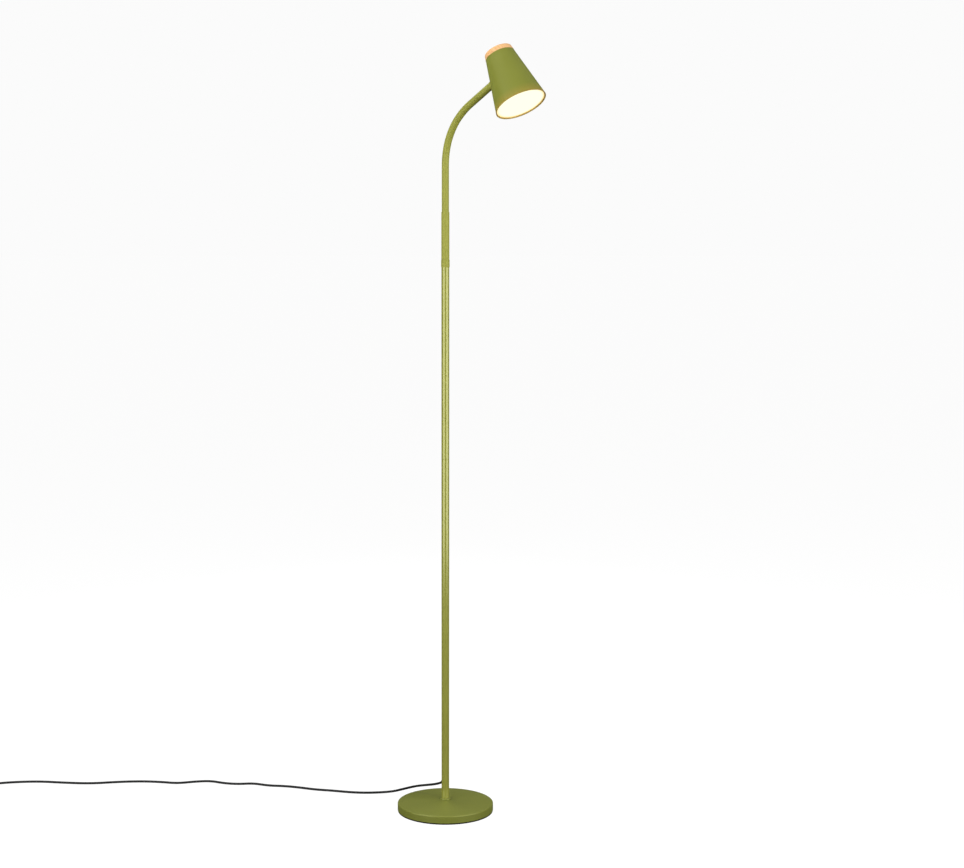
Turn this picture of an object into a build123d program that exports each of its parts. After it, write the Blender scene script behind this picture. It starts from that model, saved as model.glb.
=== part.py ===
from build123d import *
import math
import os

# Floor lamp with a goose neck: a weighted round base, a two-piece pole, a flexible neck and a conical LED
# head with a wooden cap. The row frame stands on the floor: Z is up, the origin is the middle of the base's
# underside, the neck and the head reach out along +X, and the cord leaves the back of the pole along -X.

os.makedirs("parts", exist_ok=True)

# --- Fits -----------------------------------------------------------------------------------------
slide_gap = 0.05        # radial, a tube on a spigot or a shank in its hole
free_gap = 0.5          # between covers and what they hide
floor_gap = 0.1         # what only lies on the floor stays this much above it

# --- Base -----------------------------------------------------------------------------------------
base_diameter = 200.0
base_edge_height = 18.0
base_crown = 6.0
base_flat_radius = 14.0
base_edge_fillet = 2.5
cover_wall = 1.2
pad_thickness = 3.0
pad_inset = 0.5
bolt_diameter = 10.0
bolt_head_across = 17.0
bolt_head_height = 6.4
washer_diameter = 26.0
washer_thickness = 2.0
bolt_length = 30.0
bolt_chamfer = 1.0

# --- Pole -----------------------------------------------------------------------------------------
pole_diameter = 16.0
pole_wall = 1.2
lower_pole_length = 718.0
upper_pole_length = 393.0
pole_joint_edge = 0.3
foot_collar_flange = 3.4
foot_collar_height = 3.4
foot_collar_round = 0.7   # of its height
foot_insert_length = 28.0
coupler_length = 60.0
lead_diameter = 5.0
lead_bore = 9.0
lead_bend_radius = 6.0
lead_rise = 26.0         # over which the lead reaches the middle of the pole
lead_straight = 4.0

# --- Cord relief at the back of the pole ----------------------------------------------------------
relief_length = 20.0
relief_slope = 60.0     # degrees below the floor's plane
relief_heading = 25.0   # degrees from -X towards +Y
relief_root_radius = 3.8
relief_tip_radius = 3.2
relief_root_share = 0.6  # the part of its length that is not tapered
relief_tip_reach = 11.5
relief_edge = 0.4
relief_tip_height = 66.5
relief_tip_point = (
    -relief_tip_reach * math.cos(math.radians(relief_heading)),
    relief_tip_reach * math.sin(math.radians(relief_heading)),
    relief_tip_height,
)

# --- Neck -----------------------------------------------------------------------------------------
neck_ring_step = 0.5     # the ring stands out from the tubes by this much
neck_ring_fillet = 0.5
neck_ring_height = 15.0
spigot_length = 30.0
ferrule_wall = 0.85
ferrule_length = 97.0
neck_diameter = 14.6
hose_diameter = 10.4
hose_bore = 6.5
neck_socket_depth = 40.0
first_joint = 22.0      # from the ferrule's end to the first joint
link_length = 36.0      # from joint to joint
link_turns = [0.0, 0.0, 14.5, 16.2, 16.2, 13.1, 0.0]   # degrees that each link is bent at rest
ball_margin = 2.7       # the rounded end that a link's cup rolls on is this much larger than the neck
ball_gap = 0.3
head_stub = 31.0        # from the last joint to the head's ferrule

# --- Head -----------------------------------------------------------------------------------------
shade_length = 111.5
shade_wall = 1.2
opening_radius = 52.1
cone_slope = 0.1995     # radius lost per millimetre of length
neck_height = 75.0      # the neck's axis above the opening
head_ferrule_step = 0.5
head_ferrule_length = 10.0
nipple_diameter = 10.0
nipple_length = 26.0
saddle_diameter = 20.0
saddle_depth = 5.0
nut_across = 14.0
nut_height = 5.0
cap_thickness = 11.0
cap_proud = 0.3
cap_edge_radius = 1.6
cap_recess_margin = 5.0  # from the screws' circle to the recess wall
cap_recess_depth = 3.0
cap_screw_diameter = 3.5
cap_screw_length = 11.0
cap_screw_head = 7.0
diffuser_recess = 2.5
diffuser_thickness = 2.5
ring_wire = 1.2
ring_opening = 12.0     # degrees left open in the retaining ring
sink_height = 22.0
sink_thickness = 3.0
fin_count = 9
fin_thickness = 1.6
fin_height = 10.0
fin_length = 22.0
fin_inset = 3.4
board_thickness = 1.6
led_board_inset = 10.4  # from the heat sink's edge
led_size = 3.0
led_thickness = 0.8
led_rings = [(10, 24.0), (5, 12.0)]
reflector_wall = 1.0
spacer_inset = 9.87     # from the shade's wall, at its top, to the screws' circle
spacer_count = 3
spacer_foot_radius = 4.0
spacer_foot_height = 15.0
spacer_radius = 3.0
screw_diameter = 3.0
screw_length = 12.0
screw_head_diameter = 5.6
screw_head_height = 2.0
driver_margin = 8.0     # from the screws' circle to the board's edge
capacitor_diameter = 10.0
capacitor_height = 15.0
transformer_size = (15.0, 13.0, 12.0)
chip_size = (9.0, 6.0, 2.0)
capacitor_place = (4.0, -14.0)
transformer_place = (4.0, 4.0)
chip_place = (-12.0, 0.0)

# --- Cord, switch and plug ------------------------------------------------------------------------
cord_diameter = 5.0
cord_height = cord_diameter / 2 + floor_gap
fillet_share = 0.45     # of the shorter run, which a bend takes up
switch_entry_height = 7.1
# From the relief's tip over the back of the base, and along the floor to the switch.
lead_points = [
    relief_tip_point,
    (-14.95, 6.97, 57.84),
    (-21.9, 8.45, 52.3),
    (-40.6, 7.2, 45.6),
    (-62, 4.6, 40.2),
    (-90, 1.3, 32.8),
    (-124, 0, 20),
    (-154, -3, 8.5),
    (-182, -13, cord_height),
    (-203, -39, cord_height),
    (-231, -60, cord_height),
    (-266, -78, cord_height),
    (-299, -99, cord_height),
    (-335, -113, cord_height),
    (-367, -129, cord_height),
    (-395, -152, cord_height),
    (-431, -163, cord_height),
    (-451, -191, cord_height),
    (-479, -209, cord_height),
    (-513, -218, cord_height),
    (-534, -246, cord_height),
    (-551, -281, cord_height),
    (-585, -300, cord_height),
    (-620, -327, cord_height),
    (-653, -366, cord_height),
    (-685, -415, cord_height),
    (-731, -452, cord_height),
    (-778, -484, cord_height),
    (-812, -523, cord_height),
    (-831, -564, 4),
    (-826, -598, switch_entry_height),
    (-803, -627, switch_entry_height),
]
switch_size = (66.0, 28.0, 19.0)
switch_wall = 2.0
switch_corner = 6.0
switch_foot_edge = 1.0
switch_top_edge = 1.8
rocker_size = (18.0, 10.0)
rocker_gap = 0.4
rocker_pivot = 15.5
rocker_reach = 6.2
rocker_tilt = 7.0
rocker_side_gap = 0.6
rocker_drop = 2.5        # below its hinge
rocker_dish = 1.4
rocker_flank = 1.0
switch_screw_diameter = 3.0
switch_screw_spacing = 44.0
switch_screw_head = 5.6
switch_screw_head_height = 1.6
switch_screw_length = 8.0
tail_points_from_switch = [(0, 0, 0), (20, 1.2, -3.2), (46, 0, -4.4)]   # along, across, up
coil_centre_along = 62.0
coil_radius = 27.6
coil_turn_step = 5.2
coil_height = 10.1
coil_turns = 3
coil_corner = 2.4
tie_width = 7.0
tie_thickness = 1.0
tie_angle = 200.0       # degrees round the coil
plug_axis_height = 7.5
plug_thickness = 14.8
plug_length = 34.0
plug_width = 30.0
plug_neck_width = 15.0
plug_neck_share = 0.8     # of its thickness
plug_shoulder_share = 0.45  # of its length
plug_neck_corner = 4.0
plug_corner = 5.0
plug_relief_length = 26.0
plug_relief_reach = 16.0    # from the coil's tangent point
pin_diameter = 4.0
pin_length = 19.0
pin_spacing = 18.6
pin_depth = 8.0
pin_tip_land = 0.4       # left flat at a pin's tip

# --- Heights that follow --------------------------------------------------------------------------
base_radius = base_diameter / 2
base_top = base_edge_height + base_crown
pole_radius = pole_diameter / 2
pole_bore_radius = pole_radius - pole_wall
spigot_radius = pole_bore_radius - slide_gap
pole_joint_height = base_top + lower_pole_length
pole_top = pole_joint_height + upper_pole_length
ferrule_bottom = pole_top + neck_ring_height
ferrule_top = ferrule_bottom + ferrule_length
neck_radius = neck_diameter / 2
hose_radius = hose_diameter / 2
ferrule_bore_radius = neck_radius + slide_gap
ferrule_radius = ferrule_bore_radius + ferrule_wall
neck_ring_radius = max(pole_radius, ferrule_radius) + neck_ring_step
ball_radius = neck_radius + ball_margin


def beside(plane):
    """The plane in which a profile is drawn to be turned about the given plane's Z axis."""
    return Plane(origin=plane.origin, x_dir=plane.x_dir, z_dir=-plane.y_dir)


def axis_of(plane):
    """The given plane's Z axis."""
    return Axis(plane.origin, plane.z_dir)


def finish(builder, name):
    """Label a finished piece and write it."""
    builder.part.label = name
    export_step(builder.part, f"parts/{name}.step")


def tube(name, plane, outer, inner, length):
    """A round tube that starts on a plane."""
    with BuildPart() as piece:
        with BuildSketch(plane):
            Circle(outer)
            Circle(inner, mode=Mode.SUBTRACT)
        extrude(amount=length)
    finish(piece, name)


# === Base =========================================================================================
def crowned_puck(radius, bottom, edge, crown, fillet_radius):
    """A disc with a gently crowned top, flat in the middle, and a rounded top edge."""
    with BuildPart() as puck:
        with BuildSketch(Plane.XZ) as section:
            with BuildLine():
                Polyline((0, crown), (0, bottom), (radius, bottom), (radius, edge))
                TangentArc((base_flat_radius, crown), (radius, edge), tangent=(1, 0))
                Line((base_flat_radius, crown), (0, crown))
            make_face()
            fillet(section.vertices().group_by(Axis.X)[-1].sort_by(Axis.Y)[-1], radius=fillet_radius)
        revolve(axis=Axis.Z)
    return puck.part


cover_inside = crowned_puck(
    base_radius - cover_wall, 0, base_edge_height - cover_wall, base_top - cover_wall,
    base_edge_fillet - cover_wall,
)
with BuildPart() as base_cover:
    add(crowned_puck(base_radius, pad_thickness, base_edge_height, base_top, base_edge_fillet))
    add(cover_inside, mode=Mode.SUBTRACT)
    with Locations((0, 0, base_top)):
        Hole(bolt_diameter / 2 + slide_gap, depth=2 * cover_wall)
finish(base_cover, "base_cover")

weight_top = base_top - cover_wall
washer_bottom = pad_thickness + bolt_head_height + free_gap
with BuildPart() as base_weight:
    add(crowned_puck(
        base_radius - cover_wall - free_gap, pad_thickness, base_edge_height - cover_wall - free_gap,
        weight_top, base_edge_fillet - cover_wall,
    ))
    with Locations((0, 0, weight_top)):
        Hole(bolt_diameter / 2 + free_gap, depth=weight_top)
    with BuildSketch(Plane.XY.offset(pad_thickness)):
        Circle(washer_diameter / 2 + free_gap)
    extrude(amount=washer_bottom + washer_thickness - pad_thickness, mode=Mode.SUBTRACT)
finish(base_weight, "base_weight")

with BuildPart() as base_pad:
    with BuildSketch(Plane.XY):
        Circle(base_radius - pad_inset)
    extrude(amount=pad_thickness)
    fillet(base_pad.edges().filter_by(GeomType.CIRCLE).sort_by(Axis.Z)[0], radius=pad_thickness / 4)
finish(base_pad, "base_pad")

with BuildPart() as base_washer:
    with BuildSketch(Plane.XY.offset(washer_bottom)):
        Circle(washer_diameter / 2)
        Circle(bolt_diameter / 2 + slide_gap, mode=Mode.SUBTRACT)
    extrude(amount=washer_thickness)
finish(base_washer, "base_washer")

with BuildPart() as base_bolt:
    with BuildSketch(Plane.XY.offset(washer_bottom - bolt_head_height)):
        RegularPolygon(bolt_head_across / 2, 6, major_radius=False)
    extrude(amount=bolt_head_height)
    with BuildSketch(Plane.XY.offset(washer_bottom)):
        Circle(bolt_diameter / 2)
    extrude(amount=bolt_length)
    chamfer(base_bolt.edges().filter_by(GeomType.CIRCLE).sort_by(Axis.Z)[-1], length=bolt_chamfer)
finish(base_bolt, "base_bolt")

# === Pole =========================================================================================
with BuildPart() as foot_collar:
    with BuildSketch(Plane.XY.offset(base_top)):
        Circle(pole_radius + foot_collar_flange)
        Circle(pole_radius + slide_gap, mode=Mode.SUBTRACT)
    extrude(amount=foot_collar_height)
    collar_rims = foot_collar.edges().filter_by(GeomType.CIRCLE).group_by(SortBy.RADIUS)[-1]
    fillet(collar_rims.sort_by(Axis.Z)[-1], radius=foot_collar_round * foot_collar_height)
finish(foot_collar, "foot_collar")

bolt_top = washer_bottom + bolt_length
with BuildPart() as foot_insert:
    with BuildSketch(Plane.XY.offset(base_top)):
        Circle(spigot_radius)
    extrude(amount=foot_insert_length)
    with BuildSketch(Plane.XY.offset(base_top)):
        Circle(bolt_diameter / 2 + slide_gap)
    extrude(amount=bolt_top - base_top + free_gap, mode=Mode.SUBTRACT)
finish(foot_insert, "foot_insert")

slope = math.radians(relief_slope)
relief_tip = Vector(*relief_tip_point)
relief_axis = Vector(math.cos(slope), 0, math.sin(slope)).rotate(Axis.Z, -relief_heading)
relief_across = Vector(0, 1, 0).rotate(Axis.Z, -relief_heading)
relief_plane = Plane(origin=relief_tip, x_dir=relief_across, z_dir=relief_axis)
relief_taper = (1 - relief_root_share) * relief_length

with BuildPart() as lower_pole:
    with BuildSketch(Plane.XY.offset(base_top)):
        Circle(pole_radius)
        Circle(pole_bore_radius, mode=Mode.SUBTRACT)
    extrude(amount=lower_pole_length)
    with BuildSketch(relief_plane):
        Circle(relief_root_radius + slide_gap)
    extrude(amount=relief_length, mode=Mode.SUBTRACT)
    joint_rims = lower_pole.edges().filter_by(GeomType.CIRCLE).group_by(Axis.Z)[-1]
    chamfer(joint_rims.sort_by(SortBy.RADIUS)[-1], length=pole_joint_edge)
finish(lower_pole, "lower_pole")

with BuildPart() as cord_relief:
    with BuildSketch(beside(relief_plane)):
        with BuildLine():
            Polyline(
                (0, 0),
                (relief_tip_radius, 0),
                (relief_root_radius, relief_taper),
                (relief_root_radius, relief_length),
                (0, relief_length),
                close=True,
            )
        make_face()
    revolve(axis=axis_of(relief_plane))
    fillet(cord_relief.edges().filter_by(GeomType.CIRCLE).sort_by(Axis.Z)[0], radius=relief_edge)
finish(cord_relief, "cord_relief")

tube("pole_coupler", Plane.XY.offset(pole_joint_height - coupler_length / 2), spigot_radius, lead_bore / 2,
     coupler_length)

with BuildPart() as upper_pole:
    with BuildSketch(Plane.XY.offset(pole_joint_height)):
        Circle(pole_radius)
        Circle(pole_bore_radius, mode=Mode.SUBTRACT)
    extrude(amount=upper_pole_length)
    joint_rims = upper_pole.edges().filter_by(GeomType.CIRCLE).group_by(Axis.Z)[0]
    chamfer(joint_rims.sort_by(SortBy.RADIUS)[-1], length=pole_joint_edge)
finish(upper_pole, "upper_pole")

with BuildPart() as neck_collar:
    with BuildSketch(Plane.XZ):
        with BuildLine():
            Polyline(
                (lead_bore / 2, pole_top - spigot_length),
                (spigot_radius, pole_top - spigot_length),
                (spigot_radius, pole_top),
                (neck_ring_radius, pole_top),
                (neck_ring_radius, ferrule_bottom),
                (ferrule_bore_radius - slide_gap, ferrule_bottom),
                (ferrule_bore_radius - slide_gap, ferrule_bottom + spigot_length),
                (lead_bore / 2, ferrule_bottom + spigot_length),
                close=True,
            )
        make_face()
    revolve(axis=Axis.Z)
    ring_rims = neck_collar.edges().filter_by(GeomType.CIRCLE).group_by(SortBy.RADIUS)[-1]
    fillet(ring_rims, radius=neck_ring_fillet)
finish(neck_collar, "neck_collar")

tube("neck_ferrule", Plane.XY.offset(ferrule_bottom), ferrule_radius, ferrule_bore_radius, ferrule_length)

lead_start = relief_tip + relief_axis * relief_length
with BuildPart() as pole_lead:
    with BuildLine() as lead_route:
        FilletPolyline(
            lead_start,
            lead_start + relief_axis * lead_straight,
            (0, 0, lead_start.Z + lead_rise),
            (0, 0, ferrule_top - neck_socket_depth - free_gap),
            radius=lead_bend_radius,
        )
    with BuildSketch(lead_route.line ^ 0):
        Circle(lead_diameter / 2)
    sweep()
finish(pole_lead, "pole_lead")

# === Neck =========================================================================================
def along(plane, length, turn):
    """The plane reached by following an arc of that length, which turns Z towards X by turn degrees."""
    if turn == 0:
        return plane.offset(length)
    radius = length / math.radians(turn)
    forward = radius * (1 - math.cos(math.radians(turn)))
    onward = radius * math.sin(math.radians(turn))
    return Plane(plane.location * Location((forward, 0, onward), (0, turn, 0)))


neck_start = Plane.XY.offset(ferrule_top)
joints = [along(neck_start, first_joint, 0)]
for turn in link_turns:
    joints.append(along(joints[-1], link_length, turn))
neck_end = along(joints[-1], head_stub, 0)


def neck_piece(name, outer, inner, start, length, turn, cupped, domed):
    """A length of neck. Its cupped end leaves room for the ball end below it. Its own ball end is above."""
    end = along(start, length, turn)
    with BuildPart() as piece:
        with BuildLine():
            if turn == 0:
                Line(start.origin, end.origin)
            else:
                ThreePointArc(start.origin, along(start, length / 2, turn / 2).origin, end.origin)
        with BuildSketch(start):
            Circle(outer)
            Circle(inner, mode=Mode.SUBTRACT)
        sweep()
        if cupped:
            with Locations(start):
                Sphere(ball_radius + ball_gap, mode=Mode.SUBTRACT)
        if domed:
            rim_angle = math.degrees(math.acos(outer / ball_radius))
            bore_angle = math.degrees(math.acos(inner / ball_radius))
            rim = ball_radius * math.sin(math.radians(rim_angle))
            mouth = ball_radius * math.sin(math.radians(bore_angle))
            with BuildSketch(beside(end)):
                with BuildLine():
                    Polyline((inner, mouth), (inner, 0), (outer, 0), (outer, rim))
                    CenterArc((0, 0), ball_radius, rim_angle, bore_angle - rim_angle)
                make_face()
            revolve(axis=axis_of(end))
    finish(piece, name)


neck_layers = [
    ("neck_hose", hose_radius, hose_bore / 2),
    ("neck_sleeve", neck_radius, hose_radius + slide_gap),
]
for layer, outer, inner in neck_layers:
    neck_piece(f"{layer}_0", outer, inner, neck_start.offset(-neck_socket_depth),
               neck_socket_depth + first_joint, 0, cupped=False, domed=True)
    for number, turn in enumerate(link_turns, start=1):
        neck_piece(f"{layer}_{number}", outer, inner, joints[number - 1], link_length, turn,
                   cupped=True, domed=True)
    neck_piece(f"{layer}_{len(joints)}", outer, inner, joints[-1], head_stub, 0, cupped=True, domed=False)

# === Head =========================================================================================
def cone_radius(height):
    """The shade's outer radius at a height above its opening."""
    return opening_radius - cone_slope * height


wall_across = shade_wall * math.sqrt(1 + cone_slope**2)    # the wall measured square to the head's axis
neck_reach = head_ferrule_length + cone_radius(neck_height)
neck_meets_axis = neck_end.offset(neck_reach)
head_up = -neck_meets_axis.x_dir
head_origin = neck_meets_axis.origin - head_up * neck_height
head = Plane(origin=head_origin, x_dir=neck_meets_axis.z_dir, z_dir=head_up)


def cone(plane, shrink, bottom, top):
    """A solid of the shade's outer cone between two heights, made smaller all round by shrink."""
    with BuildPart() as solid:
        with BuildSketch(beside(plane)):
            with BuildLine():
                Polyline(
                    (0, bottom),
                    (cone_radius(bottom) - shrink, bottom),
                    (cone_radius(top) - shrink, top),
                    (0, top),
                    close=True,
                )
            make_face()
        revolve(axis=axis_of(plane))
    return solid.part


disc_bottom = shade_length - shade_wall
spacer_circle = cone_radius(disc_bottom) - wall_across - spacer_inset
with BuildPart() as shade:
    add(cone(head, 0, 0, shade_length))
    add(cone(head, wall_across, 0, disc_bottom), mode=Mode.SUBTRACT)
    with BuildSketch(neck_end):
        Circle(nipple_diameter / 2 + slide_gap)
    extrude(amount=neck_reach, mode=Mode.SUBTRACT)
    with BuildSketch(head.offset(disc_bottom)):
        Circle(cap_screw_diameter / 2 + slide_gap)
        with PolarLocations(spacer_circle, spacer_count):
            Circle(screw_diameter / 2 + slide_gap)
    extrude(amount=shade_wall, mode=Mode.SUBTRACT)
finish(shade, "shade")

cap_top = shade_length + cap_thickness
with BuildPart() as wood_cap:
    add(cone(head, -cap_proud, shade_length, cap_top))
    cap_rims = wood_cap.edges().filter_by(GeomType.CIRCLE).group_by(SortBy.RADIUS)
    fillet(cap_rims[0], radius=cap_edge_radius)
    with BuildSketch(head.offset(shade_length)):
        Circle(spacer_circle + cap_recess_margin)
    extrude(amount=cap_recess_depth, mode=Mode.SUBTRACT)
    with BuildSketch(head.offset(shade_length)):
        Circle(cap_screw_diameter / 2 + slide_gap)
    extrude(amount=cap_screw_length - shade_wall + free_gap, mode=Mode.SUBTRACT)
finish(wood_cap, "wood_cap")

with BuildPart() as cap_screw:
    with BuildSketch(head.offset(disc_bottom)):
        Circle(cap_screw_head / 2)
    extrude(amount=-screw_head_height)
    with BuildSketch(head.offset(disc_bottom)):
        Circle(cap_screw_diameter / 2)
    extrude(amount=cap_screw_length)
finish(cap_screw, "cap_screw")

with BuildPart() as head_ferrule:
    with BuildSketch(neck_end):
        Circle(neck_radius + head_ferrule_step)
        Circle(nipple_diameter / 2 + slide_gap, mode=Mode.SUBTRACT)
    extrude(amount=neck_reach)
    add(cone(head, 0, 0, shade_length), mode=Mode.SUBTRACT)
finish(head_ferrule, "head_ferrule")

tube("neck_nipple", neck_end.offset(free_gap), nipple_diameter / 2, hose_bore / 2, nipple_length)

inner_face = head_ferrule_length + wall_across + saddle_depth
with BuildPart() as neck_saddle:
    with BuildSketch(neck_end):
        Circle(saddle_diameter / 2)
        Circle(nipple_diameter / 2 + slide_gap, mode=Mode.SUBTRACT)
    extrude(amount=inner_face)
    add(cone(head, wall_across + slide_gap, 0, disc_bottom), mode=Mode.INTERSECT)
finish(neck_saddle, "neck_saddle")

with BuildPart() as neck_nut:
    with BuildSketch(neck_end.offset(inner_face)):
        RegularPolygon(nut_across / 2, 6, major_radius=False)
        Circle(nipple_diameter / 2 + slide_gap, mode=Mode.SUBTRACT)
    extrude(amount=nut_height)
finish(neck_nut, "neck_nut")

# --- Light source, from the diffuser upwards
diffuser_top = diffuser_recess + diffuser_thickness
with BuildPart() as diffuser:
    with BuildSketch(head.offset(diffuser_recess)):
        Circle(cone_radius(diffuser_top) - wall_across - free_gap)
    extrude(amount=diffuser_thickness)
finish(diffuser, "diffuser")

ring_height = diffuser_recess - ring_wire / 2
ring_radius = cone_radius(ring_height) - wall_across - ring_wire / 2 - slide_gap
with BuildPart() as retaining_ring:
    with BuildSketch(beside(head)):
        with Locations((ring_radius, ring_height)):
            Circle(ring_wire / 2)
    revolve(axis=axis_of(head), revolution_arc=360 - ring_opening)
finish(retaining_ring, "retaining_ring")

sink_radius = cone_radius(sink_height + sink_thickness) - wall_across - free_gap
led_board_radius = sink_radius - led_board_inset
reflector_foot = cone_radius(diffuser_top) - wall_across - 2 * free_gap - reflector_wall
with BuildPart() as reflector:
    with BuildSketch(beside(head)):
        with BuildLine():
            Polyline(
                (led_board_radius + free_gap, sink_height - slide_gap),
                (led_board_radius + free_gap, sink_height - reflector_wall),
                (reflector_foot, diffuser_top + slide_gap),
                (reflector_foot + reflector_wall, diffuser_top + slide_gap),
                (led_board_radius + free_gap + 2 * reflector_wall, sink_height - slide_gap),
                close=True,
            )
        make_face()
    revolve(axis=axis_of(head))
finish(reflector, "reflector")

with BuildPart() as heat_sink:
    with BuildSketch(head.offset(sink_height)):
        Circle(sink_radius)
        with PolarLocations(spacer_circle, spacer_count):
            Circle(screw_diameter / 2 + slide_gap, mode=Mode.SUBTRACT)
    extrude(amount=sink_thickness)
    with BuildSketch(head.offset(sink_height + sink_thickness)):
        fin_circle = sink_radius - fin_inset - fin_length / 2
        with PolarLocations(fin_circle, fin_count, start_angle=180 / fin_count):
            Rectangle(fin_length, fin_thickness)
    extrude(amount=fin_height)
finish(heat_sink, "heat_sink")

with BuildPart() as led_board:
    with BuildSketch(head.offset(sink_height - board_thickness)):
        Circle(led_board_radius)
        with PolarLocations(spacer_circle, spacer_count):
            Circle(screw_diameter / 2 + slide_gap, mode=Mode.SUBTRACT)
    extrude(amount=board_thickness)
finish(led_board, "led_board")

with BuildPart() as leds:
    with BuildSketch(head.offset(sink_height - board_thickness)):
        for count, radius in led_rings:
            with PolarLocations(radius, count, start_angle=180 / count):
                Rectangle(led_size, led_size)
    extrude(amount=-led_thickness)
finish(leds, "leds")

spacer_bottom = sink_height + sink_thickness
driver_bottom = spacer_bottom + spacer_foot_height
with BuildPart() as spacers:
    with BuildSketch(head.offset(spacer_bottom)):
        with PolarLocations(spacer_circle, spacer_count):
            Circle(spacer_foot_radius)
    extrude(amount=spacer_foot_height)
    with BuildSketch(head.offset(driver_bottom)):
        with PolarLocations(spacer_circle, spacer_count):
            Circle(spacer_radius)
    extrude(amount=disc_bottom - driver_bottom)
    with BuildSketch(head.offset(spacer_bottom), head.offset(disc_bottom - screw_length)):
        with PolarLocations(spacer_circle, spacer_count):
            Circle(screw_diameter / 2 + slide_gap)
    extrude(amount=screw_length, mode=Mode.SUBTRACT)
finish(spacers, "spacers")

with BuildPart() as module_screws:
    with BuildSketch(head.offset(sink_height - board_thickness)):
        with PolarLocations(spacer_circle, spacer_count):
            Circle(screw_head_diameter / 2)
    extrude(amount=-screw_head_height)
    with BuildSketch(head.offset(shade_length)):
        with PolarLocations(spacer_circle, spacer_count):
            Circle(screw_head_diameter / 2)
    extrude(amount=screw_head_height)
    with BuildSketch(head.offset(sink_height - board_thickness), head.offset(shade_length - screw_length)):
        with PolarLocations(spacer_circle, spacer_count):
            Circle(screw_diameter / 2)
    extrude(amount=screw_length)
finish(module_screws, "module_screws")

with BuildPart() as driver_board:
    with BuildSketch(head.offset(driver_bottom)):
        Circle(spacer_circle + driver_margin)
        with PolarLocations(spacer_circle, spacer_count):
            Circle(spacer_radius + slide_gap, mode=Mode.SUBTRACT)
    extrude(amount=board_thickness)
finish(driver_board, "driver_board")

driver_top = driver_bottom + board_thickness
with BuildPart() as driver_parts:
    with BuildSketch(head.offset(driver_top)):
        with Locations(capacitor_place):
            Circle(capacitor_diameter / 2)
    extrude(amount=capacitor_height)
    with BuildSketch(head.offset(driver_top)):
        with Locations(transformer_place):
            Rectangle(transformer_size[0], transformer_size[1])
    extrude(amount=transformer_size[2])
    with BuildSketch(head.offset(driver_top)):
        with Locations(chip_place):
            Rectangle(chip_size[0], chip_size[1])
    extrude(amount=chip_size[2])
finish(driver_parts, "driver_parts")

# === Cord, switch and plug ========================================================================
def bend_radii(points):
    """One radius for each corner: a share of the shorter run, over the tangent of half the turn."""
    runs = [Vector(*b) - Vector(*a) for a, b in zip(points, points[1:])]
    return [
        fillet_share * min(a.length, b.length) / math.tan(math.radians(a.get_angle(b)) / 2)
        for a, b in zip(runs, runs[1:])
    ]


def cord_tube(name, points):
    """A cord's tube along straight runs joined by tangent arcs."""
    radii = bend_radii(points)
    with BuildPart() as piece:
        with BuildLine() as route:
            FilletPolyline(*points, radius=radii)
        with BuildSketch(route.line ^ 0):
            Circle(cord_diameter / 2)
        sweep()
    finish(piece, name)
    length = route.wires()[0].length
    expected = math.pi * cord_diameter**2 / 4 * length
    print(f"{name}: {length:.0f} mm, radii", [round(radius) for radius in radii])
    print(f"{name}: volume {piece.part.volume:.0f}, section times length {expected:.0f}")
    return length


lead_length = cord_tube("cord_lead", lead_points)

switch_length, switch_width, switch_height = switch_size
switch_entry = Vector(*lead_points[-1])
switch_along = (switch_entry - Vector(*lead_points[-2])).normalized()
switch_middle = switch_entry + switch_along * (switch_length / 2)
switch = Plane(
    origin=(switch_middle.X, switch_middle.Y, floor_gap), x_dir=switch_along, z_dir=(0, 0, 1)
)
parting = lead_points[-1][2] - floor_gap


def switch_shell(low, high, floor_low, floor_high):
    """One half of the switch housing, hollow between two heights, with half a cord hole at each end."""
    with BuildPart() as shell:
        with BuildSketch(switch.offset(low)):
            RectangleRounded(switch_length, switch_width, switch_corner)
        extrude(amount=high - low)
        with BuildSketch(switch.offset(floor_low)):
            RectangleRounded(switch_length - 2 * switch_wall, switch_width - 2 * switch_wall,
                             switch_corner - switch_wall)
        extrude(amount=floor_high - floor_low, mode=Mode.SUBTRACT)
        with BuildSketch(Plane(origin=switch.offset(parting).origin - switch_along * switch_length,
                               z_dir=switch_along)):
            Circle(cord_diameter / 2 + slide_gap)
        extrude(amount=2 * switch_length, mode=Mode.SUBTRACT)
    return shell.part


screw_places = [(-switch_screw_spacing / 2, 0), (switch_screw_spacing / 2, 0)]
with BuildPart() as switch_base:
    add(switch_shell(0, parting, switch_wall, parting))
    fillet(switch_base.faces().sort_by(Axis.Z)[0].outer_wire().edges(), radius=switch_foot_edge)
finish(switch_base, "switch_base")

with BuildPart() as switch_cover:
    add(switch_shell(parting, switch_height, parting, switch_height - switch_wall))
    fillet(switch_cover.faces().sort_by(Axis.Z)[-1].outer_wire().edges(), radius=switch_top_edge)
    with BuildSketch(switch.offset(switch_height - 2 * switch_wall)):
        Rectangle(rocker_size[0] + 2 * rocker_gap, rocker_size[1] + 2 * rocker_gap)
    extrude(amount=3 * switch_wall, mode=Mode.SUBTRACT)
finish(switch_cover, "switch_cover")

rocker_axis = switch.offset(rocker_pivot)
rocker_plane = Plane(rocker_axis.location * Rotation(0, rocker_tilt, 0))
with BuildPart() as switch_rocker:
    with BuildSketch(Plane(origin=rocker_plane.origin, x_dir=rocker_plane.x_dir,
                           z_dir=-rocker_plane.y_dir)):
        with BuildLine():
            half = rocker_size[0] / 2 - rocker_side_gap
            foot = half - rocker_flank
            Polyline((-foot, -rocker_drop), (-half, rocker_reach))
            ThreePointArc((-half, rocker_reach), (0, rocker_reach - rocker_dish), (half, rocker_reach))
            Polyline((half, rocker_reach), (foot, -rocker_drop), (-foot, -rocker_drop))
        make_face()
    extrude(amount=rocker_size[1] / 2, both=True)
finish(switch_rocker, "switch_rocker")

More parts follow.
